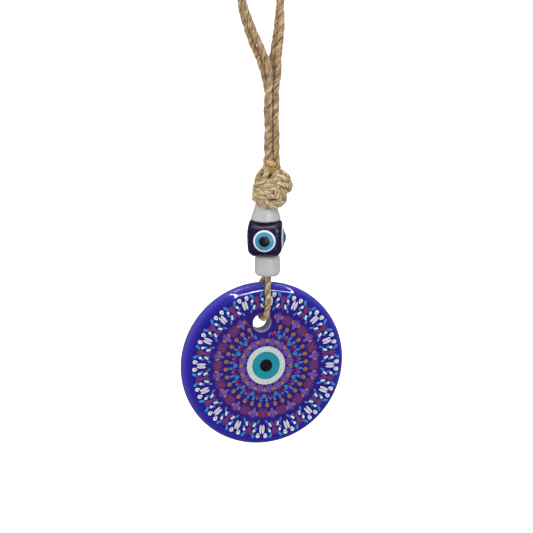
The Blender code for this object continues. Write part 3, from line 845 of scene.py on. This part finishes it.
def build_eyes(centre, half):
    """Three dots of glass melted one on another, on each side of the cube."""
    for quarter, side in enumerate(("front", "right", "back", "left")):
        out = facing(quarter)
        flatten = LEFT_EYE_FLAT if side == "left" else 1.0
        face = centre + out * half
        for layer, (radius, height) in EYE_DOTS.items():
            dome = arc(0.0, 0.0, radius, 90, 0, 14, rise=height * flatten)
            profile = [*dome, (radius, EYE_FOOT), (0.0, EYE_FOOT)]
            shape = bmesh.new()
            turned(shape, profile, face, out, EYE_STEPS)
            outward(shape)
            finished(
                f"{side}_eye_{layer}", shape, EYE_GLASS[layer], "cube",
                [f"eye_{side}_{layer}"],
            )


# ------------------------------------------------------------ glass disc

RIM_STEPS = 160
RIM_POINTS = 12
RIM_BAND = 1.5 * MM               # the turned rim's flat inner border
HOLE_BAND = 0.4 * MM              # and the hole's outer one
BORE_EDGE = 0.2 * MM              # the bore's matt wall ends this far inside its mouth


def build_disc():
    """A turned rim and a turned hole, joined by the flat front and back."""
    shape = bmesh.new()
    out = Vector((0, -1, 0))
    half = DISC_HALF.y
    flat = DISC_RADIUS - DISC_RIM_ROUND
    rim = [
        (flat - RIM_BAND, half),
        *arc(flat, half - DISC_RIM_ROUND, DISC_RIM_ROUND, 90, 0, RIM_POINTS),
        *arc(flat, DISC_RIM_ROUND - half, DISC_RIM_ROUND, 0, -90, RIM_POINTS),
        (flat - RIM_BAND, -half),
    ]
    turned(shape, rim, DISC_CENTRE, out, RIM_STEPS)
    rim_faces = set(shape.faces)
    mouth = HOLE_RADIUS + HOLE_LIP
    wall = [
        (mouth + HOLE_BAND, half),
        *arc(mouth, half - HOLE_LIP, HOLE_LIP, 90, 180, 6),
        *arc(mouth, HOLE_LIP - half, HOLE_LIP, 180, 270, 6),
        (mouth + HOLE_BAND, -half),
    ]
    turned(shape, wall, HOLE_CENTRE, out, RIM_STEPS)
    bore = [
        face for face in shape.faces
        if face not in rim_faces
        and (face.calc_center_median() - HOLE_CENTRE).xz.length < mouth - BORE_EDGE
    ]
    for front in (True, False):
        rims = [edge for edge in shape.edges if edge.is_boundary]
        edges = [edge for edge in rims if (edge.verts[0].co.y < 0) == front]
        bmesh.ops.triangle_fill(shape, use_beauty=True, use_dissolve=False, edges=edges)
    for face in bore:
        face.material_index = 1
    outward(shape)
    disc = finished("disc_glass", shape, COBALT, "disc", ["glass_disc"])
    disc.data.materials.append(BORE)


# ------------------------------------------------------------ mandala

# Each ink: its colour, and how far it stands off the glass, in millimetres
INKS = {
    "plum": ((0.175, 0.040, 0.165), 0.020),
    "lavender": ((0.240, 0.115, 0.520), 0.026),
    "ochre": ((0.420, 0.200, 0.045), 0.030),
    "sky": ((0.020, 0.300, 0.680), 0.034),
    "red": ((0.400, 0.012, 0.060), 0.034),
    "bone": ((0.800, 0.820, 0.820), 0.036),
    "umber": ((0.150, 0.060, 0.020), 0.042),
    "slate": ((0.180, 0.190, 0.260), 0.046),
    "iris_white": ((0.620, 0.700, 0.690), 0.040),
    "iris_blue": ((0.012, 0.300, 0.400), 0.046),
    "iris_rim": ((0.008, 0.140, 0.200), 0.044),
    "iris_black": ((0.004, 0.006, 0.006), 0.052),
}

# Motifs of one sector: ink, distance from the centre, angle off the axis,
# length, width, lean off the radius, taper towards the centre.  Millimetres
# and degrees.  A motif between the sector's axis and its edge comes in a
# mirrored pair.
MOTIFS = [
    ("lavender", 10.4, 9.3, 3.8, 0.44, 2, 0.1),
    ("lavender", 10.0, 5.7, 2.9, 0.40, 6, 0.1),
    ("ochre", 10.5, 0, 2.3, 0.55, 0, 0.4),
    ("ochre", 10.8, 2.9, 2.0, 0.50, 22, 0.4),
    ("sky", 13.3, 0, 2.3, 0.45, 0, 0.3),
    ("sky", 13.4, 2.7, 2.4, 0.48, 14, 0.3),
    ("red", 13.8, 7.6, 1.7, 0.95, -12, 0.3),
    ("sky", 15.2, 4.8, 1.45, 0.90, -18, 0.3),
    ("sky", 14.6, 10.9, 1.1, 0.50, 0, 0.2),
    ("ochre", 17.25, 5.5, 2.1, 1.55, 0, 0.3),
    ("plum", 21.0, 0, 4.6, 0.80, 0, 0.3),
    ("plum", 20.9, 2.5, 4.5, 0.75, 5, 0.3),
    ("plum", 20.6, 4.9, 4.0, 0.70, 10, 0.3),
    ("ochre", 21.3, 7.2, 2.0, 0.75, -14, 0.2),
    ("lavender", 20.8, 9.4, 4.6, 0.34, -10, 0.1),
    ("lavender", 21.2, 10.7, 4.8, 0.34, -4, 0.1),
    ("sky", 24.6, 3.9, 1.6, 0.80, 30, 0.3),
    ("plum", 25.6, 5.3, 1.5, 0.60, -35, 0.2),
    ("sky", 25.4, 7.9, 1.1, 0.60, 60, 0.2),
    ("plum", 26.0, 10.3, 3.6, 0.72, 16, 0.2),
    ("plum", 28.3, 11.25, 5.4, 0.80, 0, 0.2),
    ("plum", 29.0, 9.8, 3.6, 0.75, -12, 0.2),
    ("bone", 28.0, 1.2, 4.0, 1.0, -2, 0.0),
    ("bone", 26.2, 7.5, 2.15, 0.88, 32, 0.0),
    ("sky", 27.5, 5.9, 1.7, 0.70, -38, 0.2),
    ("bone", 28.8, 6.8, 1.55, 1.10, 20, 0.2),
    ("bone", 30.75, 3.05, 2.15, 1.65, 0, 0.35),
    ("sky", 30.9, 7.3, 2.5, 1.10, -28, 0.35),
    ("slate", 28.0, 1.25, 2.7, 0.14, -2, 0.0),
    ("slate", 30.6, 3.05, 0.75, 0.45, 0, 0.0),
    ("umber", 17.15, 5.5, 0.85, 0.50, 0, 0.0),
]
# The eye in the middle: ink and radius, in millimetres
IRIS = [("iris_white", 8.30), ("iris_rim", 5.95), ("iris_blue", 5.70), ("iris_black", 2.70)]
IRIS_STEPS = 96
PETAL_SIDES = 14
INK_SUNK = 0.004 * MM             # the prints start this far inside the glass
INK_FOLLOW = 0.9                  # how fully they follow the rim as it falls away
INK_LAYER = 0.0015 * MM           # each petal of one ink lies this much over the last
HOLE_MARGIN = 0.9 * MM            # kept bare round the hole's mouth


def glass_drop(place):
    """How far a print goes back with the glass, over the rim."""
    over = (place - DISC_CENTRE).xz.length - (DISC_RADIUS - DISC_RIM_ROUND)
    if over <= 0:
        return 0.0
    return INK_FOLLOW * (DISC_RIM_ROUND - math.sqrt(max(0.0, DISC_RIM_ROUND ** 2 - over ** 2)))


def spread_petal(shape, reach, angle, length, width, lean, taper, thickness):
    """One flat petal, thickened and repeated in every sector."""
    petal = bmesh.ops.create_circle(
        shape, cap_ends=True, cap_tris=True, segments=PETAL_SIDES, radius=0.5
    )["verts"]
    tilt = math.radians(lean)
    turn = PRINT_TURN + math.radians(angle)
    for vert in petal:
        swell = 1 + taper * 2 * vert.co.x
        along = vert.co.x * length
        across = vert.co.y * width * swell
        out = reach + along * math.cos(tilt) - across * math.sin(tilt)
        side = along * math.sin(tilt) + across * math.cos(tilt)
        vert.co = Vector((
            out * math.cos(turn) - side * math.sin(turn),
            0.0,
            out * math.sin(turn) + side * math.cos(turn),
        )) * MM
    faces = list({face for vert in petal for face in vert.link_faces})
    raised = bmesh.ops.extrude_face_region(shape, geom=faces)["geom"]
    raised_verts = [part for part in raised if isinstance(part, bmesh.types.BMVert)]
    bmesh.ops.translate(shape, vec=(0, -thickness, 0), verts=raised_verts)
    verts = [*petal, *raised_verts]
    edges = {edge for vert in verts for edge in vert.link_edges}
    faces = {face for vert in verts for face in vert.link_faces}
    geom = [*verts, *edges, *faces]
    bmesh.ops.spin(
        shape, geom=geom, cent=(0, 0, 0), axis=(0, 1, 0), angle=math.radians(360 - SECTOR),
        steps=SECTORS - 1, use_duplicate=True,
    )


def lay_on_glass(shape):
    """Moves a print from its own centre onto the disc, over the rim's fall."""
    for vert in shape.verts:
        place = PRINT_CENTRE + vert.co
        depth = DISC_FRONT - INK_SUNK + vert.co.y + glass_drop(place)
        vert.co = Vector((place.x, depth, place.z))


def clear_hole(shape):
    """Takes away every petal that would lie over the hole's rounded mouth."""
    bare = HOLE_RADIUS + HOLE_LIP + HOLE_MARGIN
    reached = {vert for vert in shape.verts if (vert.co - HOLE_CENTRE).xz.length < bare}
    waiting = list(reached)
    while waiting:
        for edge in waiting.pop().link_edges:
            for vert in edge.verts:
                if vert not in reached:
                    reached.add(vert)
                    waiting.append(vert)
    bmesh.ops.delete(shape, geom=list(reached), context="VERTS")


def build_mandala():
    """One thin print for each ink."""
    for ink, (colour, proud) in INKS.items():
        thickness = proud * MM
        shape = bmesh.new()
        layer = thickness
        for motif_ink, reach, angle, length, width, lean, taper in MOTIFS:
            if motif_ink != ink:
                continue
            for mirror in (1, -1) if 0 < angle < SECTOR / 2 else (1,):
                spread_petal(
                    shape, reach, angle * mirror, length, width, lean * mirror, taper, layer
                )
                layer += INK_LAYER
        for iris_ink, radius in IRIS:
            if iris_ink == ink:
                profile = [(0, thickness), (radius * MM, thickness), (radius * MM, 0), (0, 0)]
                turned(shape, profile, Vector((0, 0, 0)), (0, -1, 0), IRIS_STEPS)
        lay_on_glass(shape)
        clear_hole(shape)
        outward(shape)
        finished(
            f"ink_{ink}", shape, fired_ink(f"ink_{ink}", colour), "disc",
            ["disc_print"] if ink == "plum" else (), smooth=False,
        )


# ------------------------------------------------------------ floor and light

FLOOR_DROP = 60 * MM              # below the disc
FLOOR_SIZE = 3.0
FLOOR_WHITE = (0.90, 0.90, 0.90)
FLOOR_GLOW = 0.6
STUDIO_ABOVE = 0.95               # strength of the white light from overhead
STUDIO_BELOW = 0.55               # and from below
STUDIO_MIRRORED = (0.06, 0.06, 0.08)
# Each soft lamp: its place, width, height and power
SOFT_LAMPS = {
    "soft_top": ((0.15, -0.45, 0.75), 0.7, 0.5, 3.0),
    "soft_left": ((-0.9, -0.5, 0.15), 0.5, 0.8, 1.5),
}
LAMP_AIM_RISE = 0.04              # above the disc's centre
# A frame of light tubes over and before the disc, from the top of its rim
FRAME_CORNERS = [
    (0.12, -0.88, -0.04), (0.27, -0.86, -0.04), (0.43, 0.02, 0.62), (-0.24, -0.04, 0.65),
]
TUBE_WIDTH = 0.011
TUBE_POWER = 1.3


def build_floor():
    """A plain pale floor, which only the camera sees."""
    shape = bmesh.new()
    bmesh.ops.create_grid(shape, x_segments=1, y_segments=1, size=FLOOR_SIZE)
    level = DISC_CENTRE.z - DISC_RADIUS - FLOOR_DROP
    bmesh.ops.translate(shape, vec=(0, 0, level), verts=shape.verts)
    mesh = bpy.data.meshes.new("floor")
    shape.to_mesh(mesh)
    shape.free()
    finish = Finish("pale_floor", FLOOR_WHITE, 0.9, emission_strength=FLOOR_GLOW)
    finish.shader.inputs["Emission Color"].default_value = (1, 1, 1, 1)
    mesh.materials.append(finish.material)
    floor = bpy.data.objects.new("floor", mesh)
    bpy.context.scene.collection.objects.link(floor)
    floor.visible_glossy = False
    floor.visible_diffuse = False
    floor.visible_shadow = False


def area_light(name, place, aim, width, height, power):
    """A white lamp that faces a point."""
    data = bpy.data.lights.new(name, "AREA")
    data.shape = "RECTANGLE"
    data.size = width
    data.size_y = height
    data.energy = power
    light = bpy.data.objects.new(name, data)
    light.location = place
    light.rotation_euler = (aim - light.location).to_track_quat("-Z", "Y").to_euler()
    bpy.context.scene.collection.objects.link(light)
    return light


def build_studio():
    """A white room that lights everything, but gives the glass little to mirror."""
    world = bpy.data.worlds.new("studio")
    world.use_nodes = True
    bpy.context.scene.world = world
    tree = world.node_tree
    white = tree.nodes["Background"]
    white.inputs["Color"].default_value = (1, 1, 1, 1)
    spot = tree.nodes.new("ShaderNodeTexCoord")
    spread = tree.nodes.new("ShaderNodeSeparateXYZ")
    ramp = tree.nodes.new("ShaderNodeMapRange")
    ramp.inputs["From Min"].default_value = -1.0
    ramp.inputs["From Max"].default_value = 1.0
    ramp.inputs["To Min"].default_value = STUDIO_BELOW
    ramp.inputs["To Max"].default_value = STUDIO_ABOVE
    tree.links.new(spot.outputs["Generated"], spread.inputs["Vector"])
    tree.links.new(spread.outputs["Z"], ramp.inputs["Value"])
    tree.links.new(ramp.outputs["Result"], white.inputs["Strength"])
    dim = tree.nodes.new("ShaderNodeBackground")
    dim.inputs["Color"].default_value = (*STUDIO_MIRRORED, 1)
    path = tree.nodes.new("ShaderNodeLightPath")
    mix = tree.nodes.new("ShaderNodeMixShader")
    tree.links.new(path.outputs["Is Glossy Ray"], mix.inputs["Fac"])
    tree.links.new(white.outputs["Background"], mix.inputs[1])
    tree.links.new(dim.outputs["Background"], mix.inputs[2])
    plain = tree.nodes.new("ShaderNodeBackground")
    plain.inputs["Color"].default_value = (1, 1, 1, 1)
    seen = tree.nodes.new("ShaderNodeMixShader")
    tree.links.new(path.outputs["Is Camera Ray"], seen.inputs["Fac"])
    tree.links.new(mix.outputs["Shader"], seen.inputs[1])
    tree.links.new(plain.outputs["Background"], seen.inputs[2])
    tree.links.new(seen.outputs["Shader"], tree.nodes["World Output"].inputs["Surface"])


def build_lights():
    """Two soft lamps, and a tilted frame of tubes for the glass to mirror."""
    aim = DISC_CENTRE + Vector((0, 0, LAMP_AIM_RISE))
    for name, (place, width, height, power) in SOFT_LAMPS.items():
        lamp = area_light(name, place, aim, width, height, power)
        lamp.visible_glossy = False
    top = Vector((DISC_CENTRE.x, 0, DISC_TOP))
    corners = [top + Vector(corner) for corner in FRAME_CORNERS]
    for number, (start, end) in enumerate(zip(corners, corners[1:] + corners[:1])):
        middle_point = (start + end) / 2
        tube = area_light(
            f"frame_tube_{number}", middle_point, top, (end - start).length, TUBE_WIDTH, TUBE_POWER
        )
        ahead = (end - start).normalized()
        toward = (top - middle_point).normalized()
        side = ahead.cross(toward).normalized()
        tube.rotation_euler = Matrix((ahead, side, ahead.cross(side))).transposed().to_euler()
        tube.visible_diffuse = False


# ------------------------------------------------------------ assembly

build_camera()
build_cords()
build_knot()
build_whipping()
build_white_bead("upper_bead", top_radius=4.5 * MM, bottom_radius=6.25 * MM, rise=0.9 * MM, lip=0.4 * MM)
build_white_bead("lower_bead", top_radius=5.3 * MM, bottom_radius=5.3 * MM, rise=2.0 * MM, lip=1.2 * MM)
CUBE_CENTRE, CUBE_HALF = build_cube()
build_eyes(CUBE_CENTRE, CUBE_HALF)
build_disc()
build_mandala()
build_floor()
build_studio()
build_lights()
bpy.context.scene.view_settings.view_transform = "Standard"
